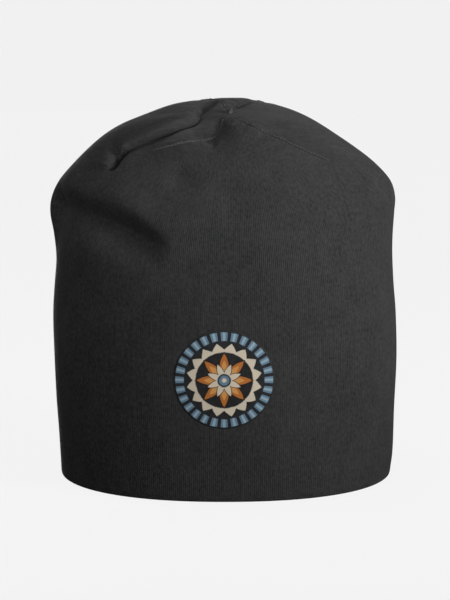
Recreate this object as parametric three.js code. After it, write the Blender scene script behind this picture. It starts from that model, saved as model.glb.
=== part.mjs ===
import * as THREE from 'three';

// Slouch beanie of doubled jersey, standing on its rim as it keeps its form by itself.
// Millimetres. The rim rests on z = 0, the front faces -Y and the wearer's left is +X.

// Cloth
const WIDTH = 207;
const DEPTH = 152;
const HEIGHT = 224;
const WALL = 2.2;
const RIM_ROUNDING = 0.2;
const CROWN_SHIFT_X = 3;
const CROWN_SHIFT_Y = -11;
const LEAN_START = 0.55;
const PUFF_LIFT = 12.5;
const PUFF_SPAN = 38;
const FOLD_DEPTH = 6;
const FOLD_REACH = 20;
const NARROWEST_REACH = 6.5;
const FOLD_EDGE = 3.2;
const RIM_EASE = 12;

// Raised dart seams and the knot of cloth where they meet
const SEAM_WIDTH = 2.6;
const SEAM_HEIGHT = 1.1;
const SEAM_STEP = 3;
const TACK_LENGTH = 6;
const TACK_WIDTH = 3.6;
const TACK_HEIGHT = 2;
const PIECE_GAP = 0.35;
const WELT_END = 0.5;
const WELT_PROFILE = [1, 0.55, 0, -0.55, -1];
const SEAT_SEARCH = 30;

// Facets, and the small steps that normals are measured over
const FOLD_STEPS = 24;
const CLIMB_SCALE = 100;
const CLIMB_NUDGE = 0.004;
const TURN_NUDGE = 0.5;
const OUTER_COLUMNS = 104;
const INNER_EVERY = 2;
const FRONT_CROWDING = 0.42;
const CROWDED_TURN = -45;
const BODY_ROWS = 9;
const CROWN_ROWS = 28;
const CROWN_START = 0.56;
const LAST_ROW = 0.985;
const TACK_STEPS = 6;

const table = (columns, rows) => rows.map(
  (row) => Object.fromEntries(columns.map((name, index) => [name, row[index]])),
);

// Level sections from the rim to the top of the crown. Heights are shares of HEIGHT, the
// sides shares of half of WIDTH or DEPTH. Square is the power of the rounded outline.
const SECTIONS = table(
  ['climb', 'height', 'left', 'right', 'front', 'back', 'square'],
  [
    [0.00, 0.000, 0.955, 0.972, 0.955, 0.945, 2.2],
    [0.05, 0.055, 0.960, 0.982, 0.962, 0.955, 2.2],
    [0.12, 0.137, 0.967, 0.991, 0.973, 0.965, 2.2],
    [0.20, 0.225, 0.978, 0.998, 0.985, 0.975, 2.2],
    [0.30, 0.335, 0.990, 1.000, 1.000, 0.985, 2.2],
    [0.40, 0.442, 0.989, 0.993, 0.993, 0.992, 2.2],
    [0.48, 0.528, 0.978, 0.976, 0.970, 1.000, 2.2],
    [0.54, 0.592, 0.969, 0.972, 0.943, 1.000, 2.2],
    [0.60, 0.656, 0.980, 0.970, 0.905, 0.990, 2.2],
    [0.66, 0.713, 1.000, 0.973, 0.855, 0.970, 2.2],
    [0.70, 0.753, 0.992, 0.974, 0.810, 0.945, 2.15],
    [0.74, 0.793, 0.955, 0.945, 0.755, 0.905, 2.1],
    [0.78, 0.832, 0.885, 0.870, 0.685, 0.850, 2.05],
    [0.82, 0.869, 0.800, 0.775, 0.600, 0.775, 2.0],
    [0.86, 0.903, 0.700, 0.668, 0.505, 0.680, 2.0],
    [0.90, 0.933, 0.575, 0.540, 0.395, 0.550, 2.0],
    [0.94, 0.957, 0.410, 0.375, 0.270, 0.390, 2.0],
    [0.97, 0.969, 0.215, 0.205, 0.140, 0.205, 2.0],
    [1.00, 0.974, 0.000, 0.000, 0.000, 0.000, 2.0],
  ],
);

// Where the cloth stands fuller, or hollow where the lift is negative. Turn is in degrees
// from the front towards +X.
const PUFFS = table(
  ['name', 'turn', 'climb', 'lift', 'span'],
  [
    ['back_leaf', 178, 0.872, 1.00, 1.00],
    ['left_leaf', -105, 0.885, 0.26, 0.68],
    ['left_leaf_top', -128, 0.935, 0.30, 0.50],
    ['right_leaf', 128, 0.900, 0.24, 0.58],
    ['tack_hollow', -12, 0.905, -0.25, 0.42],
    ['trough_swell', -60, 0.615, 0.20, 0.42],
  ],
);

// Folds run through their stops. Rise, step and slide are shares of FOLD_DEPTH, the reaches
// to both sides shares of FOLD_REACH, each given at the start and the end. Left and right
// are the sides of someone who walks along the fold on the outside. A step lifts the right
// side alone, and a slide draws that lifted edge over the left side. Fades are shares of
// the fold's length.
const FOLDS = table(
  ['name', 'rise', 'step', 'slide', 'left', 'right', 'fades', 'stops'],
  [
    ['tack_valley', -0.85, 0, 0, [0.20, 0.50], [0.45, 1.00], [0.12, 0.60],
      [[-30, 0.982], [-15, 0.945], [-12, 0.900], [-13, 0.850]]],
    ['tack_ridge', -0.10, 0.22, 0, [0.20, 0.20], [1.00, 0.60], [0.30, 0.20],
      [[150, 0.915], [165, 0.955], [172, 0.985]]],
    ['left_leaf_edge', -0.17, 0.62, 0.25, [0.40, 0.30], [1.00, 0.60], [0.10, 0.06],
      [[-140, 0.968], [-104, 0.977], [-65, 0.962], [-57.5, 0.924], [-61, 0.893],
        [-66, 0.862], [-67, 0.830], [-64, 0.790]]],
    ['left_leaf_valley', -0.45, 0, 0, [0.50, 0.30], [0.25, 0.15], [0.30, 0.30],
      [[-48, 0.970], [-43, 0.932], [-47, 0.900], [-59, 0.864], [-62, 0.815]]],
    ['left_pinch', -0.35, 0, 0, [0.13, 0.15], [0.13, 0.15], [0.50, 0.30],
      [[-77.5, 0.870], [-70, 0.836], [-64, 0.790]]],
    ['left_trough', -1.40, 0, 0, [0.50, 0.36], [0.85, 0.50], [0.08, 0.42],
      [[-88, 0.686], [-68, 0.688], [-48, 0.657], [-34.5, 0.618], [-24, 0.596]]],
    ['trough_lip', 0.35, 0, 0, [0.60, 0.50], [0.30, 0.30], [0.40, 0.50],
      [[-66, 0.737], [-46, 0.704], [-27, 0.646]]],
    ['right_valley', -0.27, 0, 0, [0.25, 0.30], [0.25, 0.30], [0.40, 0.40],
      [[33, 0.925], [53, 0.929], [80, 0.942]]],
    ['front_dent', -0.30, 0, 0, [0.40, 0.40], [0.30, 0.30], [0.50, 0.50],
      [[-39, 0.781], [-28, 0.783], [-13, 0.774]]],
    ['front_slant', -0.32, 0, 0, [0.60, 0.70], [0.50, 0.60], [0.50, 0.50],
      [[-8.5, 0.799], [4.5, 0.735], [15, 0.662]]],
    ['right_shoulder', -0.50, 0, 0, [0.25, 0.30], [0.25, 0.30], [0.50, 0.20],
      [[73, 0.762], [78.5, 0.744], [83, 0.722]]],
    ['left_fold', -0.28, 0, 0, [0.40, 0.40], [0.40, 0.40], [0.50, 0.50],
      [[-36.5, 0.530], [-22, 0.551], [0, 0.576]]],
    ['right_waist', -0.25, 0, 0, [0.60, 0.60], [0.50, 0.50], [0.50, 0.50],
      [[78, 0.560], [100, 0.545], [125, 0.585]]],
    ['back_dip', -0.35, 0, 0, [0.70, 0.70], [0.60, 0.60], [0.50, 0.50],
      [[145, 0.760], [175, 0.735], [208, 0.770]]],
    ['back_slouch', -0.25, 0, 0, [0.60, 0.60], [0.60, 0.60], [0.50, 0.50],
      [[150, 0.600], [185, 0.570], [222, 0.610]]],
  ],
);

// Dart seams from beside the knot down to where each dart ends
const SEAMS = table(
  ['name', 'stops'],
  [
    ['crown_seam_front_right',
      [[20, 0.976], [31, 0.958], [39, 0.929], [46, 0.900], [56, 0.852], [62, 0.820]]],
    ['crown_seam_front_left',
      [[-19, 0.972], [-24, 0.938], [-35, 0.910], [-44, 0.885], [-55.5, 0.858]]],
    ['crown_seam_back_left',
      [[-172, 0.984], [-164, 0.950], [-147, 0.900], [-133, 0.835]]],
    ['crown_seam_back_right',
      [[172, 0.984], [162, 0.955], [146, 0.905], [132, 0.840]]],
  ],
);

const jersey = { color: 0x2e2e30, roughness: 0.95, metalness: 0 };
const seamed = { color: 0x39393b, roughness: 0.9, metalness: 0 };

const { clamp, degToRad, lerp } = THREE.MathUtils;
const ease = (share) => THREE.MathUtils.smoothstep(share, 0, 1);
const vector = (x = 0, y = 0, z = 0) => new THREE.Vector3(x, y, z);

// One column of the section table at a climb, by cubic curves through its rows
function section(climb, column) {
  const last = SECTIONS.length - 1;
  const slope = (index) => {
    const before = SECTIONS[Math.max(index - 1, 0)];
    const after = SECTIONS[Math.min(index + 1, last)];
    return (after[column] - before[column]) / (after.climb - before.climb);
  };
  const upper = Math.min(Math.max(SECTIONS.findIndex((row) => climb <= row.climb), 1), last);
  const lower = upper - 1;
  const span = SECTIONS[upper].climb - SECTIONS[lower].climb;
  const t = (climb - SECTIONS[lower].climb) / span;
  return (1 + 2 * t) * (1 - t) ** 2 * SECTIONS[lower][column]
    + t * (1 - t) ** 2 * span * slope(lower)
    + t * t * (3 - 2 * t) * SECTIONS[upper][column]
    + t * t * (t - 1) * span * slope(upper);
}

// The smooth form without puffs and folds
function formPoint(turn, climb) {
  const angle = degToRad(turn);
  const across = Math.sin(angle);
  const ahead = Math.cos(angle);
  const halfWidth = section(climb, across < 0 ? 'left' : 'right') * WIDTH / 2;
  const halfDepth = section(climb, ahead < 0 ? 'back' : 'front') * DEPTH / 2;
  const square = section(climb, 'square');
  const outline = Math.abs(across / halfWidth) ** square + Math.abs(ahead / halfDepth) ** square;
  const radius = climb >= 1 ? 0 : outline ** (-1 / square);
  const lean = clamp((climb - LEAN_START) / (1 - LEAN_START), 0, 1) ** 1.5;
  return vector(
    radius * across + CROWN_SHIFT_X * lean,
    -radius * ahead + CROWN_SHIFT_Y * lean,
    section(climb, 'height') * HEIGHT,
  );
}

// The way out of the smooth form. The tip itself faces straight up.
function formNormal(turn, climb) {
  if (climb > 1 - CLIMB_NUDGE) {
    return vector(0, 0, 1);
  }
  const lower = Math.max(climb - CLIMB_NUDGE / 2, 0);
  const around = formPoint(turn + TURN_NUDGE, climb).sub(formPoint(turn - TURN_NUDGE, climb));
  const upward = formPoint(turn, lower + CLIMB_NUDGE).sub(formPoint(turn, lower));
  return around.cross(upward).normalize();
}

// A smooth route through stops of turn and climb, as a function of the share along it
function route(stops) {
  const plan = new THREE.CatmullRomCurve3(
    stops.map(([turn, climb]) => vector(turn, climb * CLIMB_SCALE)),
    false,
    'catmullrom',
    0.5,
  );
  return (share) => {
    const point = plan.getPoint(clamp(share, 0, 1));
    return { turn: point.x, climb: point.y / CLIMB_SCALE };
  };
}

const foldLines = FOLDS.map((fold) => {
  const along = route(fold.stops);
  return Array.from({ length: FOLD_STEPS + 1 }, (_, step) => {
    const { turn, climb } = along(step / FOLD_STEPS);
    return formPoint(turn, climb);
  });
});

// Where a point lies beside a fold: its share along, its distance and the way to its right
function besideFold(line, point, normal) {
  let best = { distance: Infinity };
  for (let step = 0; step < FOLD_STEPS; step += 1) {
    const along = line[step + 1].clone().sub(line[step]);
    const away = point.clone().sub(line[step]);
    const share = clamp(away.dot(along) / along.lengthSq(), 0, 1);
    const offset = away.addScaledVector(along, -share);
    const distance = offset.length();
    if (distance < best.distance) {
      best = { distance, offset, along, share: (step + share) / FOLD_STEPS };
    }
  }
  const right = best.along.clone().normalize().cross(normal).normalize();
  return { ...best, right, side: best.offset.dot(right) < 0 ? -1 : 1 };
}

const bell = (share) => Math.exp(-share * share);

// What one fold does to a point of the cloth: its lift, and its slide to the fold's right.
// Inside, dips are wider and lifts narrower by the wall, and the lifted edge is soft.
function foldEffect(fold, place, inside) {
  const [reachStart, reachEnd] = place.side < 0 ? fold.left : fold.right;
  const outer = Math.max(lerp(reachStart, reachEnd, place.share) * FOLD_REACH, NARROWEST_REACH);
  const reach = outer + (inside ? WALL * (fold.rise < 0 ? 1 : -0.5) : 0);
  const fade = ease(place.share / fold.fades[0]) * ease((1 - place.share) / fold.fades[1]);
  const signed = place.distance * place.side;
  const edge = inside ? ease(signed / (3 * FOLD_EDGE)) : ease(0.5 + signed / (2 * FOLD_EDGE));
  const step = fold.step * edge * bell(Math.max(signed, 0) / reach) * (inside ? 0.7 : 1);
  const pull = bell((signed - FOLD_EDGE) / (FOLD_EDGE * (signed > 0 ? 1.8 : 1)));
  return {
    lift: fade * FOLD_DEPTH * (fold.rise * bell(place.distance / reach) + step),
    slide: inside ? 0 : -fade * FOLD_DEPTH * fold.slide * pull,
  };
}

// The cloth at a turn and a climb, on its outer face or one wall further in
function clothPoint(turn, climb, inside = false) {
  const start = formPoint(turn, climb);
  const normal = formNormal(turn, climb);
  const free = ease(start.z / RIM_EASE);
  const point = start.clone().addScaledVector(normal, inside ? -WALL : 0);
  for (const puff of PUFFS) {
    const away = start.distanceTo(formPoint(puff.turn, puff.climb)) / (puff.span * PUFF_SPAN);
    point.addScaledVector(normal, free * puff.lift * PUFF_LIFT * bell(away));
  }
  FOLDS.forEach((fold, index) => {
    const place = besideFold(foldLines[index], start, normal);
    const { lift, slide } = foldEffect(fold, place, inside);
    point.addScaledVector(normal, free * lift).addScaledVector(place.right, free * slide);
  });
  return point;
}

// Rounded bottom edge: a ring at the resting plane, drawn in from the cloth's face
function rimPoint(turn, inward) {
  const normal = formNormal(turn, 0).setZ(0).normalize();
  return formPoint(turn, 0).addScaledVector(normal, -inward).setZ(0);
}

// Columns of facets crowd together where most folds are
const columnTurn = (column) => {
  const even = 2 * Math.PI * column / OUTER_COLUMNS;
  return CROWDED_TURN + THREE.MathUtils.radToDeg(even - FRONT_CROWDING * Math.sin(even));
};

// Climbs of the rows of facets, from just above the rounded rim to just under the tip
function rowClimbs(bodyRows, crownRows) {
  const first = WALL * RIM_ROUNDING / HEIGHT;
  const body = Array.from({ length: bodyRows }, (_, row) => lerp(first, CROWN_START, row / bodyRows));
  const crown = Array.from(
    { length: crownRows + 1 },
    (_, row) => lerp(CROWN_START, LAST_ROW, row / crownRows),
  );
  return [...body, ...crown];
}

// A closed geometry from rings of points that follow each other. Where one ring has fewer
// points than the next, several facets share a point, and a ring of one point is a tip.
function ringSolid(rings) {
  const indices = [];
  let start = 0;
  rings.slice(1).forEach((ring, index) => {
    const here = rings[index].length;
    const next = ring.length;
    const most = Math.max(here, next);
    const corner = (column, first, count) => first + Math.floor(column * count / most) % count;
    for (let column = 0; column < most; column += 1) {
      const low = [corner(column, start, here), corner(column + 1, start, here)];
      const high = [corner(column, start + here, next), corner(column + 1, start + here, next)];
      if (low[0] !== low[1]) {
        indices.push(low[0], low[1], high[1]);
      }
      if (high[0] !== high[1]) {
        indices.push(low[0], high[1], high[0]);
      }
    }
    start += here;
  });
  const positions = rings.flat().flatMap((point) => point.toArray());
  const geometry = new THREE.BufferGeometry();
  geometry.setAttribute('position', new THREE.Float32BufferAttribute(positions, 3));
  geometry.setIndex(indices);
  geometry.computeVertexNormals();
  return geometry;
}

function shellGeometry() {
  const outerTurns = Array.from({ length: OUTER_COLUMNS }, (_, column) => columnTurn(column));
  const innerTurns = outerTurns.filter((_, column) => column % INNER_EVERY === 0);
  const edge = WALL * RIM_ROUNDING;
  const outerClimbs = rowClimbs(BODY_ROWS, CROWN_ROWS);
  const innerClimbs = rowClimbs(Math.ceil(BODY_ROWS / INNER_EVERY), Math.ceil(CROWN_ROWS / INNER_EVERY));
  return ringSolid([
    [clothPoint(0, 1, true)],
    ...innerClimbs.reverse().map((climb) => innerTurns.map((turn) => clothPoint(turn, climb, true))),
    innerTurns.map((turn) => rimPoint(turn, WALL - edge)),
    outerTurns.map((turn) => rimPoint(turn, edge)),
    ...outerClimbs.map((climb) => outerTurns.map((turn) => clothPoint(turn, climb))),
    [clothPoint(0, 1)],
  ]);
}

function namedMesh(name, geometry, finish) {
  const mesh = new THREE.Mesh(geometry, new THREE.MeshStandardMaterial(finish));
  mesh.name = name;
  return mesh;
}

// The place on the outermost facet of the cloth under a point
function seatOn(cloth, point, outward) {
  const above = point.clone().addScaledVector(outward, SEAT_SEARCH);
  const ray = new THREE.Raycaster(above, outward.clone().negate(), 0, 2 * SEAT_SEARCH);
  const [hit] = ray.intersectObject(cloth);
  return hit ? hit.point : point;
}

// A low welt of half-round section that lies on the cloth along a row of stations, each
// with its place, the way out and the way across. It grows slimmer towards its two ends.
function weltGeometry(cloth, stations, width, height) {
  const rings = stations.map(({ place, outward, across }, index) => {
    const share = index / (stations.length - 1);
    const plump = lerp(WELT_END, 1, Math.sqrt(Math.sin(Math.PI * share)));
    const foot = WELT_PROFILE.map((part) => seatOn(
      cloth,
      place.clone().addScaledVector(across, part * plump * width / 2),
      outward,
    ).addScaledVector(outward, PIECE_GAP));
    const crest = WELT_PROFILE.map((part, slot) => foot[slot].clone()
      .addScaledVector(outward, plump * height * Math.sqrt(1 - part * part)));
    return [...foot, ...crest.slice(1, -1).reverse()];
  });
  const centre = (ring) => ring.reduce((sum, point) => sum.add(point), vector())
    .divideScalar(ring.length);
  return ringSolid([[centre(rings[0])], ...rings, [centre(rings.at(-1))]]);
}

function seamGeometry(cloth, stops) {
  const along = route(stops);
  const place = (share) => {
    const { turn, climb } = along(share);
    return formPoint(turn, climb);
  };
  const reach = place(0).distanceTo(place(0.5)) + place(0.5).distanceTo(place(1));
  const steps = Math.max(Math.round(reach / SEAM_STEP), 4);
  const stations = Array.from({ length: steps + 1 }, (_, index) => {
    const share = index / steps;
    const { turn, climb } = along(share);
    const outward = formNormal(turn, climb);
    const ahead = place(share + 0.5 / steps).sub(place(share - 0.5 / steps));
    return { place: place(share), outward, across: ahead.cross(outward).normalize() };
  });
  return weltGeometry(cloth, stations, SEAM_WIDTH, SEAM_HEIGHT);
}

// The knot runs from front to back over the tip
function tackGeometry(cloth) {
  const tip = formPoint(0, 1);
  const stations = Array.from({ length: TACK_STEPS + 1 }, (_, index) => ({
    place: tip.clone().add(vector(0, (index / TACK_STEPS - 0.5) * TACK_LENGTH, 0)),
    outward: vector(0, 0, 1),
    across: vector(1, 0, 0),
  }));
  return weltGeometry(cloth, stations, TACK_WIDTH, TACK_HEIGHT);
}

const shell = namedMesh('shell', shellGeometry(), jersey);
shell.updateMatrixWorld(true);

const beanie = new THREE.Group();
beanie.add(shell);
SEAMS.forEach(({ name, stops }) => beanie.add(namedMesh(name, seamGeometry(shell, stops), seamed)));
beanie.add(namedMesh('crown_tack', tackGeometry(shell), seamed));

// The origin is the middle of the resting plane
const middle = new THREE.Box3().setFromObject(beanie).getCenter(vector());
beanie.position.set(-middle.x, -middle.y, 0);

export default beanie;
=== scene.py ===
import math

import bpy
import numpy as np
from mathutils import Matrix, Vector


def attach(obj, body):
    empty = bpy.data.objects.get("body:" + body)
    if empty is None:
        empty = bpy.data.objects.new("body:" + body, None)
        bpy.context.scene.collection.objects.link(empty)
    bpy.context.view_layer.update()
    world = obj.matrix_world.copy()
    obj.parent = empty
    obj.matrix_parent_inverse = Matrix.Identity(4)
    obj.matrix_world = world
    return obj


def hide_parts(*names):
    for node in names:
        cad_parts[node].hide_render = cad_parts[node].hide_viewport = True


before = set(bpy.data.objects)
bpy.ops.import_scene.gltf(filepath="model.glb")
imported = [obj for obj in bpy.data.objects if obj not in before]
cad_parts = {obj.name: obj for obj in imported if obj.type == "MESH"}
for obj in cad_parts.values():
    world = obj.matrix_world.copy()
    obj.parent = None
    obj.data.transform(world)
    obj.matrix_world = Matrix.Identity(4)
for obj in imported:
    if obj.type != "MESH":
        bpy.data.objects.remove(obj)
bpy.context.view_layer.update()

# Sizes are millimetres here and become metres when a mesh is made
MM = 0.001

# Cloth, with its fuller places and folds
WIDTH = 207.0
DEPTH = 152.0
HEIGHT = 224.0
WALL = 2.2
CROWN_SHIFT_X = 3.0
CROWN_SHIFT_Y = -11.0
LEAN_START = 0.55
PUFF_LIFT = 12.5
PUFF_SPAN = 38.0
FOLD_DEPTH = 6.0
FOLD_REACH = 20.0
FOLD_EDGE = 1.5
NARROWEST_REACH = 1.2
RIM_EASE = 12.0
FOLD_STEPS = 32
INNER_STEP = 0.7
SLIDE_FADE = 1.8
UNEVEN_HEIGHT = 0.45

# Small steps that normals are measured over
TURN_NUDGE = 0.5
CLIMB_NUDGE = 0.004
SURFACE_TURN_NUDGE = 0.4
SURFACE_CLIMB_NUDGE = 0.003

# Facets
COLUMNS = 384
OUTER_ROWS = 176
INNER_ROWS = 40
RIM_ROWS = 5
FRONT_CROWDING = 0.28
CROWDED_TURN = -25.0
BODY_ROW_SHARE = 0.36
CROWN_START = 0.56
LAST_ROW = 0.993
TIP_CROWDING = 1.35

# Where the wales begin to follow the crown leaves, and each leaf's number and middle turns
LEAF_KNIT_START = 0.79
LEAF_KNIT_SPAN = 0.10
LEAF_MIDDLES = ((0, 0), (1, 90), (2, 180), (2, -180), (3, -90))

# Level sections from the rim to the top of the crown, as shares of the sizes above
SECTION_COLUMNS = ("climb", "height", "left", "right", "front", "back", "square")
SECTIONS = np.array([
    (0.00, 0.000, 0.955, 0.972, 0.955, 0.945, 2.2),
    (0.05, 0.055, 0.960, 0.982, 0.962, 0.955, 2.2),
    (0.12, 0.137, 0.967, 0.991, 0.973, 0.965, 2.2),
    (0.20, 0.225, 0.978, 0.998, 0.985, 0.975, 2.2),
    (0.30, 0.335, 0.990, 1.000, 1.000, 0.985, 2.2),
    (0.40, 0.442, 0.989, 0.993, 0.993, 0.992, 2.2),
    (0.48, 0.528, 0.978, 0.976, 0.970, 1.000, 2.2),
    (0.54, 0.592, 0.969, 0.972, 0.943, 1.000, 2.2),
    (0.60, 0.656, 0.980, 0.970, 0.905, 0.990, 2.2),
    (0.66, 0.713, 1.000, 0.973, 0.855, 0.970, 2.2),
    (0.70, 0.753, 0.992, 0.974, 0.810, 0.945, 2.15),
    (0.74, 0.793, 0.955, 0.945, 0.755, 0.905, 2.1),
    (0.78, 0.832, 0.885, 0.870, 0.685, 0.850, 2.05),
    (0.82, 0.869, 0.800, 0.775, 0.600, 0.775, 2.0),
    (0.86, 0.903, 0.700, 0.668, 0.505, 0.680, 2.0),
    (0.90, 0.933, 0.575, 0.540, 0.395, 0.550, 2.0),
    (0.94, 0.957, 0.410, 0.375, 0.270, 0.390, 2.0),
    (0.97, 0.969, 0.215, 0.205, 0.140, 0.205, 2.0),
    (1.00, 0.974, 0.000, 0.000, 0.000, 0.000, 2.0),
])

# Where the cloth stands fuller, or hollow where the lift is negative: turn, climb, lift, span
PUFFS = (
    (178, 0.872, 1.00, 1.00),
    (-105, 0.885, 0.26, 0.68),
    (-128, 0.935, 0.30, 0.50),
    (128, 0.900, 0.24, 0.58),
    (-12, 0.905, -0.20, 0.42),
    (-60, 0.615, 0.20, 0.42),
)

# Folds through stops of turn and climb: rise, step, slide, reach to the left, reach to the
# right, fades and stops. A step lifts the right side alone, and a slide draws it over the left.
FOLDS = {
    "nub_valley": (-0.60, -0.45, 0, (0.20, 0.50), (0.50, 1.00), (0.45, 0.55),
                   ((-30, 0.982), (-15, 0.945), (-12, 0.900), (-13, 0.850))),
    "nub_ridge": (-0.10, 0.22, 0, (0.20, 0.20), (1.00, 0.60), (0.30, 0.20),
                  ((150, 0.915), (165, 0.955), (172, 0.985))),
    "left_leaf_edge": (-0.17, 0.70, 0.50, (0.40, 0.30), (0.80, 0.60), (0.22, 0.06),
                       ((-140, 0.968), (-106, 0.978), (-68, 0.967), (-61.5, 0.931), (-64, 0.900),
                        (-68, 0.868), (-68.5, 0.834), (-64.5, 0.792))),
    "left_leaf_valley": (-0.45, 0, 0, (0.50, 0.30), (0.25, 0.15), (0.30, 0.30),
                         ((-48, 0.970), (-43, 0.932), (-47, 0.900), (-59, 0.864), (-62, 0.815))),
    "left_pinch": (-0.60, 0, 0, (0.13, 0.15), (0.13, 0.15), (0.50, 0.30),
                   ((-77.5, 0.870), (-70, 0.836), (-64, 0.790))),
    "left_trough": (-1.70, 0, 0, (0.45, 0.28), (0.85, 0.45), (0.08, 0.42),
                    ((-88, 0.686), (-68, 0.688), (-48, 0.657), (-34.5, 0.618), (-24, 0.596))),
    "trough_lip": (0.35, 0, 0, (0.60, 0.50), (0.30, 0.30), (0.40, 0.50),
                   ((-66, 0.737), (-46, 0.704), (-27, 0.646))),
    "right_valley": (-0.27, 0, 0, (0.25, 0.30), (0.25, 0.30), (0.40, 0.40),
                     ((33, 0.925), (53, 0.929), (80, 0.942))),
    "front_dent": (-0.30, 0, 0, (0.40, 0.40), (0.30, 0.30), (0.50, 0.50),
                   ((-39, 0.781), (-28, 0.783), (-13, 0.774))),
    "front_slant": (-0.32, 0, 0, (0.60, 0.70), (0.50, 0.60), (0.50, 0.50),
                    ((-8.5, 0.799), (4.5, 0.735), (15, 0.662))),
    "right_shoulder": (-0.50, 0, 0, (0.25, 0.30), (0.25, 0.30), (0.50, 0.20),
                       ((73, 0.762), (78.5, 0.744), (83, 0.722))),
    "left_fold": (-0.28, 0, 0, (0.40, 0.40), (0.40, 0.40), (0.50, 0.50),
                  ((-36.5, 0.530), (-22, 0.551), (0, 0.576))),
    "right_waist": (-0.25, 0, 0, (0.60, 0.60), (0.50, 0.50), (0.50, 0.50),
                    ((78, 0.560), (100, 0.545), (125, 0.585))),
    "back_dip": (-0.35, 0, 0, (0.70, 0.70), (0.60, 0.60), (0.50, 0.50),
                 ((145, 0.760), (175, 0.735), (208, 0.770))),
    "back_slouch": (-0.25, 0, 0, (0.60, 0.60), (0.60, 0.60), (0.50, 0.50),
                    ((150, 0.600), (185, 0.570), (222, 0.610))),
}

# Fine creases that only the cloth here shows, with the same columns
CREASES = {
    "left_leaf_crease": (-0.85, 0, 0, (0.11, 0.10), (0.10, 0.09), (0.12, 0.10),
                         ((-168, 0.955), (-143, 0.966), (-105, 0.976), (-65, 0.962), (-59.5, 0.928),
                          (-61.5, 0.897), (-66, 0.866), (-66.5, 0.833), (-63, 0.791))),
    "back_right_pull": (-0.32, 0, 0, (0.20, 0.30), (0.20, 0.30), (0.10, 0.60),
                        ((172, 0.984), (164, 0.960), (152, 0.925))),
    "knot_crease": (-0.45, 0, 0, (0.12, 0.16), (0.12, 0.20), (0.30, 0.50),
                    ((-30, 0.978), (-17, 0.950), (-12.5, 0.920))),
    "left_pinch_crease": (-0.50, 0, 0, (0.08, 0.10), (0.08, 0.10), (0.40, 0.15),
                          ((-76, 0.868), (-69.5, 0.836), (-63, 0.788))),
}

# Dart seams, as in the frame
SEAMS = {
    "front_right": ((20, 0.976), (31, 0.958), (39, 0.929), (46, 0.900), (56, 0.852), (62, 0.820)),
    "front_left": ((-19, 0.972), (-24, 0.938), (-35, 0.910), (-44, 0.885), (-55.5, 0.858)),
    "back_left": ((-172, 0.984), (-164, 0.950), (-147, 0.900), (-133, 0.835)),
    "back_right": ((172, 0.984), (162, 0.955), (146, 0.905), (132, 0.840)),
}
SEAM_STEPS = 90
SEAM_GROOVE = 0.5
SEAM_GROOVE_REACH = (1.0, 1.4)
SEAM_WIDTH = 1.4
SEAM_HEIGHT = 0.7
PUCKER_HEIGHT = 0.22
PUCKER_LENGTH = 7.0
PUCKER_REACH = 6.0
PUCKER_OFFSET = 3.0
PUCKER_PHASE = 1.3
PUCKER_FADES = (0.10, 0.35)

# The knot of cloth where the darts meet, along the crown and with a climb a length
TACK_LENGTH = 6.0
TACK_WIDTH = 3.0
TACK_HEIGHT = 2.0
TACK_STEPS = 40
TACK_CLIMB = 500.0

# How far the ridges of seams and knot wrap round in metres of cloth
WELT_AROUND = 0.004

PRINT_RADIUS = 29.0
PRINT_HEIGHT = 73.7
PRINT_LIFT = 0.22
PRINT_SINK = 0.1
PRINT_RINGS = 44
PRINT_SPOKES = 144

# Knit in metres of cloth, and the darkest and lightest of its fibres
WALE = 0.00122
COURSE = 0.00095
STITCH_SLANT = 1.1
STITCH_DEPTH = 0.18
JERSEY_DARK = (0.0130, 0.0130, 0.0130, 1)
JERSEY_LIGHT = (0.0620, 0.0620, 0.0620, 1)
SEAM_DARK = (0.022, 0.022, 0.022, 1)
SEAM_LIGHT = (0.090, 0.090, 0.090, 1)
SEAM_STITCH = 0.0021

# Uneven tone of the jersey: scales across and along, detail, roughness, low, high and share
JERSEY_TONES = {
    "fibres": (1500.0, 560.0, 3.0, 0.65, 0.28, 0.72, 0.24),
    "flecks": (560.0, 380.0, 2.0, 0.60, 0.30, 0.70, 0.30),
    "streaks": (820.0, 45.0, 2.0, 0.50, 0.30, 0.70, 0.10),
    "blotches": (110.0, 80.0, 2.0, 0.50, 0.30, 0.70, 0.12),
    "slow": (16.0, 11.0, 3.0, 0.50, 0.30, 0.70, 0.12),
}
# Painted shade of the knit: how much darker the gaps between stitches are painted than the loop
# crests
KNIT_SHADE_SHARE = 0.17

PRINT_BLACK = (0.006, 0.006, 0.007, 1)
PRINT_ORANGE = (0.50, 0.165, 0.028, 1)
PRINT_AMBER = (0.68, 0.33, 0.09, 1)
PRINT_CREAM = (0.72, 0.63, 0.50, 1)
PRINT_BLUE = (0.135, 0.235, 0.33, 1)
PRINT_PALE_BLUE = (0.33, 0.45, 0.53, 1)
PRINT_EDGE = 0.012

# Floor and backdrop
FLOOR_GLOW = 0.86
FLOOR_REACH = 5000.0
FLOOR_DROP = 0.1
FLOOR_SIDES = 96
BACKDROP_REACH = 9000.0
BACKDROP_HEIGHT = 6000.0
BACKDROP_BENDS = 16

# Lamps: place, aim, size, spread and power
LAMPS = {
    "key": ((1.02, -0.50, 0.50), (0.0, 0.0, 0.36), 0.8, 38, 1.95),
    "fill": ((-0.75, -0.55, 0.75), (0.0, 0.0, 0.33), 0.5, 34, 0.13),
    "front": ((-0.10, -1.9, 0.70), (0.0, 0.0, 0.32), 0.8, 22, 0.33),
    "top": ((-0.30, 0.10, 1.1), (-0.03, 0.0, 0.20), 0.5, 50, 0.115),
    "back": ((-0.35, 1.6, 0.10), (0.0, 0.0, 0.10), 0.8, 40, 1.5),
}
SKY_POWER = 0.17
SKY_EDGE = (-0.15, 0.35)
SKY_LEAN = (0.35, -0.30, 0.0)

CAMERA_ELEVATION = 12.0
CAMERA_DISTANCE = 1.5
CAMERA_AIM = (0.0003, 0.0, 0.1047)
CAMERA_LENS = 150.0
CAMERA_SENSOR = 36.0


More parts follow.
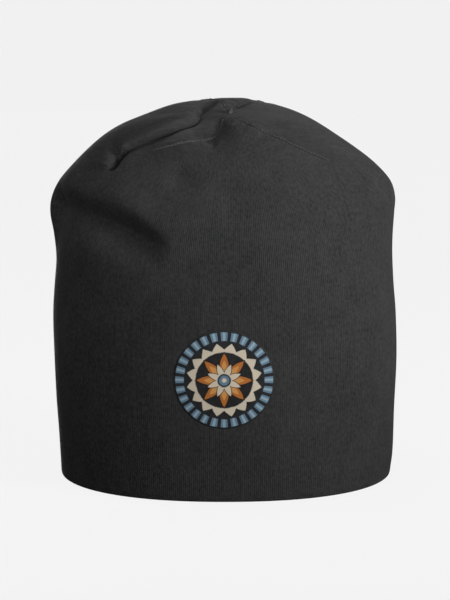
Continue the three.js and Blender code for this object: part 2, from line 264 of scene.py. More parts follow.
def ease(share):
    share = np.clip(share, 0, 1)
    return share * share * (3 - 2 * share)


def bell(share):
    return np.exp(-share * share)


def unit(vectors):
    return vectors / np.maximum(np.linalg.norm(vectors, axis=-1, keepdims=True), 1e-9)


# The cloth

def section(climb, column):
    """One column of the section table at each climb, by cubic curves through its rows."""
    rows = SECTIONS[:, 0]
    values = SECTIONS[:, SECTION_COLUMNS.index(column)]
    last = len(rows) - 1
    before = np.maximum(np.arange(last + 1) - 1, 0)
    after = np.minimum(np.arange(last + 1) + 1, last)
    slopes = (values[after] - values[before]) / (rows[after] - rows[before])
    upper = np.clip(np.searchsorted(rows, climb), 1, last)
    lower = upper - 1
    span = rows[upper] - rows[lower]
    t = (climb - rows[lower]) / span
    return ((1 + 2 * t) * (1 - t) ** 2 * values[lower]
            + t * (1 - t) ** 2 * span * slopes[lower]
            + t * t * (3 - 2 * t) * values[upper]
            + t * t * (t - 1) * span * slopes[upper])


def form_point(turn, climb):
    """The smooth form without puffs and folds."""
    turn, climb = np.broadcast_arrays(np.asarray(turn, float), np.asarray(climb, float))
    angle = np.radians(turn)
    across = np.sin(angle)
    ahead = np.cos(angle)
    half_width = np.where(across < 0, section(climb, "left"), section(climb, "right")) * WIDTH / 2
    half_depth = np.where(ahead < 0, section(climb, "back"), section(climb, "front")) * DEPTH / 2
    square = section(climb, "square")
    outline = (np.abs(across / np.maximum(half_width, 1e-6)) ** square
               + np.abs(ahead / np.maximum(half_depth, 1e-6)) ** square)
    radius = np.where(climb >= 1, 0, outline ** (-1 / square))
    lean = np.clip((climb - LEAN_START) / (1 - LEAN_START), 0, 1) ** 1.5
    return np.stack([
        radius * across + CROWN_SHIFT_X * lean,
        -radius * ahead + CROWN_SHIFT_Y * lean,
        section(climb, "height") * HEIGHT,
    ], axis=-1)


def form_normal(turn, climb):
    """The way out of the smooth form. The tip itself faces straight up."""
    turn, climb = np.broadcast_arrays(np.asarray(turn, float), np.asarray(climb, float))
    lower = np.clip(climb - CLIMB_NUDGE / 2, 0, 1 - CLIMB_NUDGE)
    around = form_point(turn + TURN_NUDGE, climb) - form_point(turn - TURN_NUDGE, climb)
    upward = form_point(turn, lower + CLIMB_NUDGE) - form_point(turn, lower)
    normal = unit(np.cross(around, upward))
    normal[climb > 1 - CLIMB_NUDGE] = (0, 0, 1)
    return normal


def route(stops, shares):
    """Turn and climb at shares of a smooth route through its stops."""
    points = np.array(stops, float)
    padded = np.vstack([2 * points[0] - points[1], points, 2 * points[-1] - points[-2]])
    place = np.clip(shares, 0, 1) * (len(points) - 1)
    index = np.minimum(place.astype(int), len(points) - 2)
    t = (place - index)[:, None]
    a, b, c, d = (padded[index + step] for step in range(4))
    curve = 0.5 * (2 * b + (c - a) * t + (2 * a - 5 * b + 4 * c - d) * t ** 2
                   + (3 * b - a - 3 * c + d) * t ** 3)
    return curve[:, 0], curve[:, 1]


def beside(line, points, normals):
    """Where points lie beside a line: share along, distance, side and the way to the right."""
    best = np.full(len(points), np.inf)
    share = np.zeros(len(points))
    offset = np.zeros((len(points), 3))
    along = np.zeros((len(points), 3))
    for step in range(len(line) - 1):
        run = line[step + 1] - line[step]
        away = points - line[step]
        part = np.clip(away @ run / (run @ run), 0, 1)
        gap = away - part[:, None] * run
        distance = np.linalg.norm(gap, axis=1)
        nearer = distance < best
        best[nearer] = distance[nearer]
        share[nearer] = (step + part[nearer]) / (len(line) - 1)
        offset[nearer] = gap[nearer]
        along[nearer] = run
    right = unit(np.cross(unit(along), normals))
    side = np.where((offset * right).sum(1) < 0, -1, 1)
    return share, best, side, right


def near_line(line, points, reach):
    """Which points lie in the box round a line, grown by a reach."""
    low = line.min(0) - reach
    high = line.max(0) + reach
    return np.flatnonzero(((points > low) & (points < high)).all(1))


def fold_cloth(points, start, normals, free, inside):
    """Add every fold's lift and slide to the points."""
    folds = [*FOLDS.values(), *([] if inside else CREASES.values())]
    for fold in folds:
        rise, step, slide, left, right_reach, fades, stops = fold
        line = form_point(*route(stops, np.linspace(0, 1, FOLD_STEPS + 1)))
        near = near_line(line, start, 3 * FOLD_REACH * max(*left, *right_reach))
        share, distance, side, right = beside(line, start[near], normals[near])
        first = np.where(side < 0, left[0], right_reach[0])
        last = np.where(side < 0, left[1], right_reach[1])
        reach = np.maximum((first + (last - first) * share) * FOLD_REACH, NARROWEST_REACH)
        reach = reach + (WALL * (1 if rise < 0 else -0.5) if inside else 0)
        fade = ease(share / fades[0]) * ease((1 - share) / fades[1]) * free[near]
        signed = distance * side
        edge = ease(signed / (3 * FOLD_EDGE)) if inside else ease(0.5 + signed / (2 * FOLD_EDGE))
        stepped = step * edge * bell(np.maximum(signed, 0) / reach) * (INNER_STEP if inside else 1)
        lift = fade * FOLD_DEPTH * (rise * bell(distance / reach) + stepped)
        points[near] += normals[near] * lift[:, None]
        if slide and not inside:
            pull = bell((signed - FOLD_EDGE) / (FOLD_EDGE * np.where(signed > 0, SLIDE_FADE, 1.0)))
            points[near] -= right * (fade * FOLD_DEPTH * slide * pull)[:, None]


def pucker_seams(points, start, normals, free):
    """Add the groove under each seam and the small puckers beside it."""
    for stops in SEAMS.values():
        line = form_point(*route(stops, np.linspace(0, 1, FOLD_STEPS + 1)))
        length = np.linalg.norm(np.diff(line, axis=0), axis=1).sum()
        near = near_line(line, start, 4 * PUCKER_REACH)
        share, distance, side, _ = beside(line, start[near], normals[near])
        fade = ease(share / PUCKER_FADES[0]) * ease((1 - share) / PUCKER_FADES[1]) * free[near]
        reach = np.where(side < 0, *SEAM_GROOVE_REACH)
        groove = -SEAM_GROOVE * bell(distance / reach)
        wave = np.sin(2 * np.pi * share * length / PUCKER_LENGTH + PUCKER_PHASE * side)
        pucker = PUCKER_HEIGHT * wave * bell((distance - PUCKER_OFFSET) / PUCKER_REACH)
        points[near] += normals[near] * (fade * (groove + pucker))[:, None]


def unevenness(start):
    """A faint lasting waviness of worn cloth, from a few slow waves."""
    waves = ((0.071, 0.043, 0.052, 0.4), (-0.052, 0.087, 0.061, 1.9),
             (0.113, -0.061, -0.094, 3.1), (0.021, 0.132, 0.117, 5.0))
    return sum(np.sin(start @ np.array(wave[:3]) + wave[3]) for wave in waves) / len(waves)


def cloth_point(turn, climb, inside=False):
    """The cloth on its outer face, or one wall further in."""
    start = form_point(turn, climb)
    shape = start.shape
    start = start.reshape(-1, 3)
    normals = form_normal(turn, climb).reshape(-1, 3)
    free = ease(start[:, 2] / RIM_EASE)
    points = start - normals * (WALL if inside else 0)
    for puff_turn, puff_climb, lift, span in PUFFS:
        centre = form_point(puff_turn, puff_climb)
        away = np.linalg.norm(start - centre, axis=1) / (span * PUFF_SPAN)
        points += normals * (free * lift * PUFF_LIFT * bell(away))[:, None]
    fold_cloth(points, start, normals, free, inside)
    if not inside:
        pucker_seams(points, start, normals, free)
    points += normals * (UNEVEN_HEIGHT * free * unevenness(start))[:, None]
    return points.reshape(shape)


def surface_normal(turn, climb):
    """The way out of the finished cloth, measured across a little of it."""
    around = (cloth_point(turn + SURFACE_TURN_NUDGE, climb)
              - cloth_point(turn - SURFACE_TURN_NUDGE, climb))
    upward = (cloth_point(turn, climb + SURFACE_CLIMB_NUDGE)
              - cloth_point(turn, climb - SURFACE_CLIMB_NUDGE))
    return unit(np.cross(around, upward))


# Meshes

def make_object(name, vertices, faces, smooth=True):
    mesh = bpy.data.meshes.new(name)
    mesh.from_pydata((np.asarray(vertices) * MM).tolist(), [], faces)
    mesh.update()
    mesh.polygons.foreach_set("use_smooth", [smooth] * len(mesh.polygons))
    thing = bpy.data.objects.new(name, mesh)
    bpy.context.collection.objects.link(thing)
    return thing


def ring_faces(rows, columns):
    """Quads between rings of equal size that follow each other."""
    row, column = np.meshgrid(np.arange(rows - 1), np.arange(columns), indexing="ij")
    here = row * columns + column
    beside_it = row * columns + (column + 1) % columns
    quads = np.stack([here, beside_it, beside_it + columns, here + columns], axis=-1)
    return quads.reshape(-1, 4).tolist()


def set_uv(thing, name, corners):
    layer = thing.data.uv_layers.new(name=name)
    layer.data.foreach_set("uv", np.asarray(corners, np.float32).ravel())


def place_in_frame(points, shift):
    """Points moved level, so that the shell's box is centred as in the frame."""
    return points - np.array([shift[0], shift[1], 0.0])


def column_turns():
    """Turns from the back round to the back, closer together near the crowded turn."""
    even = np.linspace(-np.pi, np.pi, COLUMNS + 1)
    peak = math.radians(CROWDED_TURN)
    return np.degrees(even - FRONT_CROWDING * (np.sin(even - peak) - math.sin(peak)))


def crown_climbs(count):
    """Climbs that crowd together towards the tip."""
    share = np.linspace(0, 1, count)
    crowded = share * (TIP_CROWDING - (TIP_CROWDING - 1) * share)
    return CROWN_START + (LAST_ROW - CROWN_START) * crowded


def row_climbs(count):
    """Climbs of the rows, from just above the turned edge to just under the tip."""
    body = int(count * BODY_ROW_SHARE)
    first = WALL / 2 / HEIGHT
    return np.concatenate([
        np.linspace(first, CROWN_START, body, endpoint=False),
        crown_climbs(count - body),
    ])


def rim_rings(turns):
    """The turned edge, from the inner face round the bottom to the outer face."""
    half = WALL / 2
    outline = form_point(turns, 0)
    outward = unit(form_normal(turns, 0) * (1, 1, 0))
    rings = []
    for angle in np.linspace(0, np.pi, RIM_ROWS + 2)[1:-1]:
        ring = outline - outward * (half + half * math.cos(angle))
        ring[:, 2] = half * (1 - math.sin(angle) ** 0.6)
        rings.append(ring)
    return rings


def dart_turn(name, climb):
    """The turn at which a dart seam crosses each climb."""
    turns, climbs = route(SEAMS[name], np.linspace(1, 0, 60))
    return np.interp(climb, climbs, turns)


def leaf_of(turn, climb):
    """Which crown leaf a face belongs to: 0 front, 1 right, 2 back or 3 left."""
    front = (turn > dart_turn("front_left", climb)) & (turn < dart_turn("front_right", climb))
    back = (turn < dart_turn("back_left", climb)) | (turn > dart_turn("back_right", climb))
    return np.where(front, 0, np.where(back, 2, np.where(turn > 0, 1, 3)))


def knit_uv(turns, climbs, points):
    """Each face's corners in metres of cloth: across the wales and along them.

    On the body the wales run straight up. On each crown leaf they keep running up its
    middle, so the leaves meet at an angle along the darts.
    """
    rows, columns = points.shape[:2]
    across = np.zeros((rows, columns))
    across[:, 1:] = np.cumsum(np.linalg.norm(np.diff(points, axis=1), axis=2), axis=1)
    rise = np.zeros((rows, columns))
    rise[1:] = np.cumsum(np.linalg.norm(np.diff(points, axis=0), axis=2), axis=0)
    body = across[rows // 4]
    blend = ease((climbs - LEAF_KNIT_START) / LEAF_KNIT_SPAN)[:, None]
    turn_mid = (turns[:-1] + turns[1:]) / 2
    climb_mid = (climbs[:-1] + climbs[1:]) / 2
    leaf = leaf_of(turn_mid[None, :], climb_mid[:, None])
    corners = np.zeros((rows - 1, columns - 1, 4, 2))
    steps = ((0, 0), (0, 1), (1, 1), (1, 0))
    for number, middle in LEAF_MIDDLES:
        index = int(np.argmin(np.abs(turns - middle)))
        own = body[index] + across - across[:, index:index + 1]
        mixed = body[None, :] * (1 - blend) + own * blend
        mask = (leaf == number) & (np.abs(turn_mid[None, :] - middle) <= 180)
        for corner, (up, over) in enumerate(steps):
            u = mixed[up:rows - 1 + up, over:columns - 1 + over]
            v = rise[up:rows - 1 + up, over:columns - 1 + over]
            corners[..., corner, 0][mask] = u[mask]
            corners[..., corner, 1][mask] = v[mask]
    return corners * MM


def build_shell():
    """The cloth: inner face, turned edge and outer face, closed by a point at each tip."""
    turns = column_turns()
    climbs = row_climbs(OUTER_ROWS)
    inner_climbs = row_climbs(INNER_ROWS)[::-1]
    outer = cloth_point(turns[None, :-1], climbs[:, None])
    inner = cloth_point(turns[None, :-1], inner_climbs[:, None], inside=True)
    rim = rim_rings(turns[:-1])
    tips = [cloth_point(0, 1, True).reshape(1, 3), cloth_point(0, 1).reshape(1, 3)]
    grid = np.concatenate([inner.reshape(-1, 3), *rim, outer.reshape(-1, 3)])
    rows = len(grid) // COLUMNS
    vertices = np.concatenate([tips[0], grid, tips[1]])
    faces = [[1 + index for index in face] for face in ring_faces(rows, COLUMNS)]
    last = 1 + (rows - 1) * COLUMNS
    under = [[0, 1 + (column + 1) % COLUMNS, 1 + column] for column in range(COLUMNS)]
    over = [[last + column, last + (column + 1) % COLUMNS, len(vertices) - 1]
            for column in range(COLUMNS)]
    low, high = grid.min(0), grid.max(0)
    shift = (low + high) / 2
    thing = make_object("beanie_shell", place_in_frame(vertices, shift), faces + under + over)

    closed = np.concatenate([outer, outer[:, :1]], axis=1)
    outer_uv = knit_uv(turns, climbs, closed)
    inner_rows = rows - OUTER_ROWS
    strip = grid[:(inner_rows + 1) * COLUMNS].reshape(inner_rows + 1, COLUMNS, 3)
    inner_uv = plain_uv(np.concatenate([strip, strip[:, :1]], axis=1))
    tip_uv = np.zeros((2 * COLUMNS, 3, 2))
    corners = [part.reshape(-1, 2) for part in (inner_uv, outer_uv, tip_uv)]
    set_uv(thing, "knit", np.concatenate(corners))
    return thing, shift


def plain_uv(points):
    """Corners in metres of cloth, measured along the widest ring and along each column."""
    rows, columns = points.shape[:2]
    lengths = np.linalg.norm(np.diff(points, axis=1), axis=2)
    widest = int(np.argmax(lengths.sum(1)))
    across = np.concatenate([[0], np.cumsum(lengths[widest])])
    middle = np.linalg.norm(np.diff(points, axis=0), axis=2).mean(1)
    rise = np.concatenate([[0], np.cumsum(middle)])
    corners = np.zeros((rows - 1, columns - 1, 4, 2))
    for corner, (up, over) in enumerate(((0, 0), (0, 1), (1, 1), (1, 0))):
        corners[..., corner, 0] = across[None, over:columns - 1 + over]
        corners[..., corner, 1] = rise[up:rows - 1 + up, None]
    return corners * MM


def welt(name, places, outward, across, widths, heights, sink=0.25, sides=8):
    """A closed ridge of half-round section along places, slightly sunk into the cloth."""
    angles = np.linspace(0, np.pi, sides + 1)
    rings = []
    for place, out, over, width, height in zip(places, outward, across, widths, heights):
        arch = [place + over * (width / 2 * math.cos(a)) + out * (height * math.sin(a))
                for a in angles]
        foot = [place + over * (width / 2 * math.cos(a)) - out * sink for a in (np.pi, 0)]
        rings.append(np.array(arch + foot))
    columns = sides + 3
    grid = np.concatenate(rings)
    ends = np.stack([rings[0].mean(0), rings[-1].mean(0)])
    vertices = np.concatenate([grid, ends])
    faces = ring_faces(len(rings), columns)
    start, stop = len(grid), len(grid) + 1
    last = (len(rings) - 1) * columns
    faces += [[start, (c + 1) % columns, c] for c in range(columns)]
    faces += [[last + c, last + (c + 1) % columns, stop] for c in range(columns)]
    thing = make_object(name, vertices, faces)
    uv = []
    steps = np.linalg.norm(np.diff(places, axis=0), axis=1)
    lengths = np.concatenate([[0], np.cumsum(steps)]) * MM
    for row in range(len(rings) - 1):
        for c in range(columns):
            low, high = lengths[row], lengths[row + 1]
            near, far = c / columns * WELT_AROUND, (c + 1) / columns * WELT_AROUND
            uv += [(near, low), (far, low), (far, high), (near, high)]
    uv += [(0, 0)] * (6 * columns)
    set_uv(thing, "knit", uv)
    return thing


def build_seam(name, stops, shift):
    """The raised edge of one dart, thinner towards its ends and a little uneven."""
    shares = np.linspace(0, 1, SEAM_STEPS)
    turns, climbs = route(stops, shares)
    places = cloth_point(turns, climbs)
    outward = surface_normal(turns, climbs)
    along = unit(np.gradient(places, axis=0))
    across = unit(np.cross(along, outward))
    outward = unit(np.cross(across, along))
    plump = 0.35 + 0.65 * np.sqrt(np.sin(np.pi * np.clip(shares * 0.96 + 0.02, 0, 1)))
    wobble = 1 + 0.12 * np.sin(shares * 61) + 0.08 * np.sin(shares * 137 + 2)
    places = place_in_frame(places, shift)
    return welt("seam_" + name, places, outward, across,
                SEAM_WIDTH * plump * wobble, (SEAM_HEIGHT + 0.5 * SEAM_GROOVE) * plump * wobble)


def build_tack(shift):
    """The lumpy knot, laid from front to back over the tip."""
    shares = np.linspace(0, 1, TACK_STEPS)
    tip = cloth_point(0, 1).reshape(3)
    offsets = (shares - 0.5) * TACK_LENGTH
    places = tip + np.stack([0.5 * np.sin(shares * 5), offsets, 0 * offsets], axis=1)
    for row, place in enumerate(places):
        turn = 0 if offsets[row] < 0 else 180
        climb = 1 - abs(offsets[row]) / TACK_CLIMB
        place[2] = cloth_point(turn, climb)[..., 2].item()
    outward = np.tile([0.0, 0.0, 1.0], (TACK_STEPS, 1))
    across = np.tile([1.0, 0.0, 0.0], (TACK_STEPS, 1))
    plump = np.sqrt(np.sin(np.pi * (0.03 + 0.94 * shares)))
    lumps = 1 + 0.16 * np.sin(shares * 17 + 1)
    places = place_in_frame(places, shift)
    return welt("tack_knot", places, outward, across, TACK_WIDTH * plump * lumps,
                TACK_HEIGHT * plump * lumps, sink=0.8, sides=12)


def build_print(shift):
    """A thin round of printed film that follows the front of the cloth."""
    rings, spokes = PRINT_RINGS, PRINT_SPOKES
    radius = np.linspace(0, PRINT_RADIUS, rings + 1)[1:, None]
    angle = np.linspace(0, 2 * np.pi, spokes, endpoint=False)[None, :]
    flat_x = np.concatenate([[0.0], (radius * np.cos(angle)).ravel()])
    flat_z = np.concatenate([[0.0], (radius * np.sin(angle)).ravel()])
    table = np.linspace(0, 0.6, 400)
    climb = np.interp(flat_z + PRINT_HEIGHT, section(table, "height") * HEIGHT, table)
    width = np.where(flat_x < 0, section(climb, "left"), section(climb, "right")) * WIDTH / 2
    depth = section(climb, "front") * DEPTH / 2
    square = section(climb, "square")
    ahead = depth * (1 - np.abs(flat_x / width) ** square) ** (1 / square)
    turn = np.degrees(np.arctan2(flat_x, ahead))
    points = cloth_point(turn, climb)
    outward = form_normal(turn, climb)
    top = place_in_frame(points + outward * PRINT_LIFT, shift)
    bottom = place_in_frame(points - outward * PRINT_SINK, shift)
    count = len(top)
    vertices = np.concatenate([top, bottom])

    def cell(ring, spoke):
        return 1 + ring * spokes + spoke % spokes

    faces = []
    flats = []
    flat = np.stack([flat_x, flat_z], axis=1) / PRINT_RADIUS

    def add(face, corners):
        faces.append(face)
        flats.extend(flat[corner] for corner in corners)

    for spoke in range(spokes):
        centre = [0, cell(0, spoke), cell(0, spoke + 1)]
        add(centre, centre)
        add([count + corner for corner in reversed(centre)], centre[::-1])
        edge = [cell(rings - 1, spoke + 1), cell(rings - 1, spoke)]
        add([*edge, count + edge[1], count + edge[0]], [*edge, *reversed(edge)])
        for ring in range(rings - 1):
            quad = [cell(ring, spoke), cell(ring + 1, spoke),
                    cell(ring + 1, spoke + 1), cell(ring, spoke + 1)]
            add(quad, quad)
            add([count + corner for corner in reversed(quad)], quad[::-1])
    thing = make_object("front_print", vertices, faces)
    set_uv(thing, "design", flats)
    return thing


# Materials

class Graph:
    """Short calls that add the nodes of one material."""

    def __init__(self, name):
        self.material = bpy.data.materials.new(name)
        self.material.use_nodes = True
        self.tree = self.material.node_tree
        self.tree.nodes.clear()
        self.shader = self.node("ShaderNodeBsdfPrincipled")
        output = self.node("ShaderNodeOutputMaterial")
        self.link(self.shader.outputs[0], output.inputs["Surface"])

    def node(self, kind, **settings):
        made = self.tree.nodes.new(kind)
        for name, value in settings.items():
            setattr(made, name, value)
        return made

    def link(self, source, target):
        self.tree.links.new(source, target)

    def put(self, value, socket):
        if isinstance(value, bpy.types.NodeSocket):
            self.link(value, socket)
        else:
            socket.default_value = value

    def math(self, operation, *values, clamp=False):
        made = self.node("ShaderNodeMath", operation=operation, use_clamp=clamp)
        for value, socket in zip(values, made.inputs):
            self.put(value, socket)
        return made.outputs[0]

    def ramp(self, value, low, high, to_low=0.0, to_high=1.0):
        made = self.node("ShaderNodeMapRange", interpolation_type="SMOOTHSTEP")
        for entry, socket in zip((value, low, high, to_low, to_high), made.inputs):
            self.put(entry, socket)
        return made.outputs[0]

    def mix(self, share, first, second):
        made = self.node("ShaderNodeMix", data_type="RGBA")
        self.put(share, made.inputs["Factor"])
        self.put(first, made.inputs["A"])
        self.put(second, made.inputs["B"])
        return made.outputs["Result"]

    def uv(self, name):
        return self.node("ShaderNodeUVMap", uv_map=name).outputs[0]

    def split(self, vector):
        made = self.node("ShaderNodeSeparateXYZ")
        self.link(vector, made.inputs[0])
        return made.outputs

    def scaled(self, vector, scale):
        made = self.node("ShaderNodeVectorMath", operation="MULTIPLY")
        self.link(vector, made.inputs[0])
        made.inputs[1].default_value = scale
        return made.outputs[0]

    def noise(self, vector, across, along, detail, roughness):
        made = self.node("ShaderNodeTexNoise")
        self.link(self.scaled(vector, (across, along, 1.0)), made.inputs["Vector"])
        made.inputs["Scale"].default_value = 1.0
        made.inputs["Detail"].default_value = detail
        made.inputs["Roughness"].default_value = roughness
        return made.outputs["Fac"]

    def bump(self, height, strength, distance, normal=None):
        made = self.node("ShaderNodeBump")
        made.inputs["Strength"].default_value = strength
        made.inputs["Distance"].default_value = distance
        self.link(height, made.inputs["Height"])
        if normal is not None:
            self.link(normal, made.inputs["Normal"])
        return made.outputs["Normal"]


def knit_height(graph, uv):
    """Height of jersey loops: columns of small slanted stitches."""
    u, v, _ = graph.split(uv)
    wale = graph.math("FRACT", graph.math("DIVIDE", u, WALE))
    off = graph.math("ABSOLUTE", graph.math("SUBTRACT", wale, 0.5))
    slant = graph.math("MULTIPLY", off, STITCH_SLANT)
    course = graph.math("ADD", graph.math("DIVIDE", v, COURSE), slant)
    stitch = graph.math("COSINE", graph.math("MULTIPLY", course, 2 * math.pi))
    round_wale = graph.math("COSINE", graph.math("MULTIPLY", off, math.pi))
    body = graph.math("POWER", round_wale, 0.7)
    loops = graph.math("MULTIPLY_ADD", stitch, STITCH_DEPTH, 1 - STITCH_DEPTH)
    return graph.math("MULTIPLY", body, loops)


def finish_cloth(graph, sheen, roughness):
    """The dull finish that jersey and seams share."""
    shader = graph.shader
    shader.inputs["Roughness"].default_value = roughness
    shader.inputs["Specular IOR Level"].default_value = 0.08
    shader.inputs["Sheen Weight"].default_value = sheen
    shader.inputs["Sheen Roughness"].default_value = 0.45
    shader.inputs["Sheen Tint"].default_value = (0.83, 0.83, 0.83, 1)


def jersey_material():
    """Heathered jersey, with painted shade in the gaps between its stitches. The slowest of its
    tones also makes it a little uneven.
    """
    graph = Graph("jersey")
    uv = graph.uv("knit")
    height = knit_height(graph, uv)
    tone = 0.0
    for across, along, detail, roughness, low, high, share in JERSEY_TONES.values():
        cloud = graph.noise(uv, across, along, detail, roughness)
        tone = graph.math("MULTIPLY_ADD", graph.ramp(cloud, low, high), share, tone)
    # Painted shade: the colour follows the loop height, darker in the gaps between stitches and
    # lighter on the crests
    tone = graph.math("MULTIPLY_ADD", height, KNIT_SHADE_SHARE, tone, clamp=True)
    graph.link(graph.mix(tone, JERSEY_DARK, JERSEY_LIGHT), graph.shader.inputs["Base Color"])
    fuzz = graph.noise(uv, 2600.0, 1900.0, 2.0, 0.6)
    rough = graph.bump(graph.math("MULTIPLY_ADD", fuzz, 0.5, height), 0.48, 0.00022)
    graph.link(graph.bump(cloud, 0.25, 0.0012, rough), graph.shader.inputs["Normal"])
    finish_cloth(graph, 0.05, 0.95)
    return graph.material


def seam_material():
    """The same cloth where it is turned up along the darts, with its small stitches."""
    graph = Graph("seam")
    uv = graph.uv("knit")
    fibres = graph.noise(uv, 1500.0, 1300.0, 3.0, 0.6)
    _, v, _ = graph.split(uv)
    wave = graph.math("SINE", graph.math("MULTIPLY", v, 2 * math.pi / SEAM_STITCH))
    tone = graph.ramp(fibres, 0.3, 0.7, 0.25, 0.85)
    tone = graph.math("MULTIPLY_ADD", wave, 0.16, tone, clamp=True)
    graph.link(graph.mix(tone, SEAM_DARK, SEAM_LIGHT), graph.shader.inputs["Base Color"])
    graph.link(graph.bump(tone, 0.5, 0.0002), graph.shader.inputs["Normal"])
    finish_cloth(graph, 0.06, 0.9)
    return graph.material


def print_material():
    """A plain round ornament: an eight-petalled flower, a notched ring and a ring of bars."""
    graph = Graph("front_print")
    uv = graph.uv("design")
    x, y, _ = graph.split(uv)
    worn = graph.noise(uv, 9.0, 9.0, 4.0, 0.6)
    squares = graph.math("ADD", graph.math("MULTIPLY", x, x), graph.math("MULTIPLY", y, y))
    reach = graph.math("SQRT", squares)
    reach = graph.math("MULTIPLY_ADD", graph.math("SUBTRACT", worn, 0.5), 0.035, reach)
    angle = graph.math("DIVIDE", graph.math("ARCTAN2", x, y), 2 * math.pi)

    def spokes(count, phase=0.0):
        turn = graph.math("FRACT", graph.math("MULTIPLY_ADD", angle, count, phase))
        return graph.math("ABSOLUTE", graph.math("MULTIPLY_ADD", turn, 2.0, -1.0))

    def inside(edge):
        return graph.ramp(graph.math("SUBTRACT", edge, reach), -PRINT_EDGE, PRINT_EDGE)

    def band(low, high):
        return graph.math("MULTIPLY", inside(high), graph.math("SUBTRACT", 1.0, inside(low)))

    worn = graph.ramp(worn, 0.35, 0.65)
    colour = graph.mix(worn, (0.010, 0.010, 0.011, 1), (0.020, 0.020, 0.022, 1))
    bar = graph.math("MULTIPLY", band(0.80, 0.97), graph.ramp(spokes(28), 0.30, 0.36))
    blues = graph.mix(graph.ramp(spokes(28), 0.6, 0.9), PRINT_BLUE, PRINT_PALE_BLUE)
    colour = graph.mix(bar, colour, blues)
    notch = graph.math("MULTIPLY_ADD", spokes(16, 0.5), 0.13, 0.62)
    colour = graph.mix(band(0.57, notch), colour, PRINT_CREAM)
    petal = graph.math("MULTIPLY_ADD", spokes(8), 0.33, 0.22)
    colour = graph.mix(inside(graph.math("ADD", petal, 0.035)), colour, PRINT_BLACK)
    colour = graph.mix(inside(petal), colour, PRINT_ORANGE)
    colour = graph.mix(inside(graph.math("MULTIPLY_ADD", petal, 0.80, -0.03)), colour, PRINT_AMBER)
    half = graph.math("MULTIPLY_ADD", spokes(8, 0.5), 0.20, 0.15)
    colour = graph.mix(inside(graph.math("ADD", half, 0.03)), colour, PRINT_BLACK)
    colour = graph.mix(inside(half), colour, PRINT_CREAM)
    colour = graph.mix(inside(0.135), colour, PRINT_BLACK)
    colour = graph.mix(inside(0.105), colour, PRINT_BLUE)
    colour = graph.mix(inside(0.045), colour, PRINT_CREAM)
    fleck = graph.noise(uv, 60.0, 60.0, 3.0, 0.6)
    colour = graph.mix(graph.ramp(fleck, 0.62, 0.80, 0.0, 0.5), colour, (0.02, 0.02, 0.022, 1))
    graph.link(colour, graph.shader.inputs["Base Color"])
    metres = graph.scaled(uv, (PRINT_RADIUS * MM, PRINT_RADIUS * MM, 1.0))
    height = knit_height(graph, metres)
    graph.link(graph.bump(height, 0.4, 0.0002), graph.shader.inputs["Normal"])
    graph.shader.inputs["Roughness"].default_value = 0.62
    graph.shader.inputs["Specular IOR Level"].default_value = 0.3
    return graph.material


def floor_material():
    """A pale floor that glows evenly, so that it stays plain."""
    graph = Graph("floor")
    shader = graph.shader
    shader.inputs["Base Color"].default_value = (0.10, 0.10, 0.10, 1)
    shader.inputs["Roughness"].default_value = 0.9
    shader.inputs["Specular IOR Level"].default_value = 0.0
    shader.inputs["Emission Color"].default_value = (1, 1, 1, 1)
    shader.inputs["Emission Strength"].default_value = FLOOR_GLOW
    return graph.material


# Stage

def build_floor():
    """A flat round floor that turns up into a backdrop all round."""
    angles = np.linspace(0, 2 * np.pi, FLOOR_SIDES, endpoint=False)
    round_out = np.stack([np.cos(angles), np.sin(angles), 0 * angles], axis=1)
    rings = [round_out * FLOOR_REACH]
    for bend in np.linspace(0, np.pi / 2, BACKDROP_BENDS)[1:]:
        out = FLOOR_REACH + (BACKDROP_REACH - FLOOR_REACH) * math.sin(bend)
        rings.append(round_out * out + np.array([0, 0, BACKDROP_HEIGHT * (1 - math.cos(bend))]))
    grid = np.concatenate(rings)
    grid[:, 2] -= FLOOR_DROP
    faces = ring_faces(len(rings), FLOOR_SIDES) + [list(range(FLOOR_SIDES))]
    floor = make_object("floor", grid, faces, smooth=False)
    floor.data.materials.append(floor_material())
    floor.visible_diffuse = False
    floor.visible_glossy = False
    floor.visible_shadow = False


def add_lamp(name, place, aim, size, spread, power):
    """A round area lamp that looks at its aim."""
    lamp = bpy.data.lights.new(name, "AREA")
    lamp.shape = "DISK"
    lamp.size = size
    lamp.spread = math.radians(spread)
    lamp.energy = power
    thing = bpy.data.objects.new(name, lamp)
    thing.location = place
    thing.rotation_euler = (Vector(aim) - Vector(place)).to_track_quat("-Z", "Y").to_euler()
    bpy.context.collection.objects.link(thing)


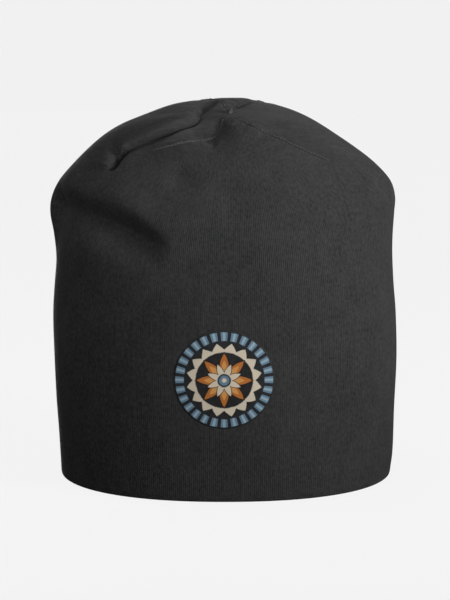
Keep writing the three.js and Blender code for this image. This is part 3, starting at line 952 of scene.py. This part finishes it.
def build_light():
    """A faint sky, a little brighter to the right, and the lamps."""
    world = bpy.data.worlds.new("studio")
    bpy.context.scene.world = world
    world.use_nodes = True
    tree = world.node_tree
    tree.nodes.clear()
    place = tree.nodes.new("ShaderNodeTexCoord")
    parts = tree.nodes.new("ShaderNodeSeparateXYZ")
    above = tree.nodes.new("ShaderNodeMapRange")
    above.interpolation_type = "SMOOTHSTEP"
    for socket, value in zip(above.inputs[1:5], (*SKY_EDGE, 0.0, SKY_POWER)):
        socket.default_value = value
    side = tree.nodes.new("ShaderNodeVectorMath")
    side.operation = "DOT_PRODUCT"
    side.inputs[1].default_value = SKY_LEAN
    lean = tree.nodes.new("ShaderNodeMath")
    lean.operation = "ADD"
    lean.inputs[1].default_value = 1.0
    level = tree.nodes.new("ShaderNodeMath")
    level.operation = "MULTIPLY"
    sky = tree.nodes.new("ShaderNodeBackground")
    sky.inputs["Color"].default_value = (1, 1, 1, 1)
    out = tree.nodes.new("ShaderNodeOutputWorld")
    tree.links.new(place.outputs["Generated"], parts.inputs[0])
    tree.links.new(parts.outputs["Z"], above.inputs[0])
    tree.links.new(place.outputs["Generated"], side.inputs[0])
    tree.links.new(side.outputs["Value"], lean.inputs[0])
    tree.links.new(above.outputs[0], level.inputs[0])
    tree.links.new(lean.outputs[0], level.inputs[1])
    tree.links.new(level.outputs[0], sky.inputs["Strength"])
    tree.links.new(sky.outputs[0], out.inputs["Surface"])
    for name, values in LAMPS.items():
        add_lamp(name, *values)


def build_camera():
    """A long lens that looks down a little on the front."""
    data = bpy.data.cameras.new("camera")
    data.lens = CAMERA_LENS
    data.sensor_width = CAMERA_SENSOR
    camera = bpy.data.objects.new("camera", data)
    bpy.context.collection.objects.link(camera)
    tilt = math.radians(CAMERA_ELEVATION)
    camera.location = (
        CAMERA_AIM[0],
        CAMERA_AIM[1] - CAMERA_DISTANCE * math.cos(tilt),
        CAMERA_AIM[2] + CAMERA_DISTANCE * math.sin(tilt),
    )
    camera.rotation_euler = (math.pi / 2 - tilt, 0, 0)
    bpy.context.scene.camera = camera


def dress(piece, material, slot, *nodes):
    """Give a piece its material and name the nodes that it replaces. The slot is not used."""
    piece.data.materials.append(material)
    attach(piece, "root")
    if nodes:
        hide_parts(*nodes)


build_camera()
bpy.context.scene.view_settings.view_transform = "Standard"

shell, shell_shift = build_shell()
dress(shell, jersey_material(), "jersey", "shell")
thread = seam_material()
for seam_name, seam_stops in SEAMS.items():
    dress(build_seam(seam_name, seam_stops, shell_shift), thread, "seam", "crown_seam_" + seam_name)
dress(build_tack(shell_shift), thread, "seam", "crown_tack")
dress(build_print(shell_shift), print_material(), "jersey")

build_floor()
build_light()
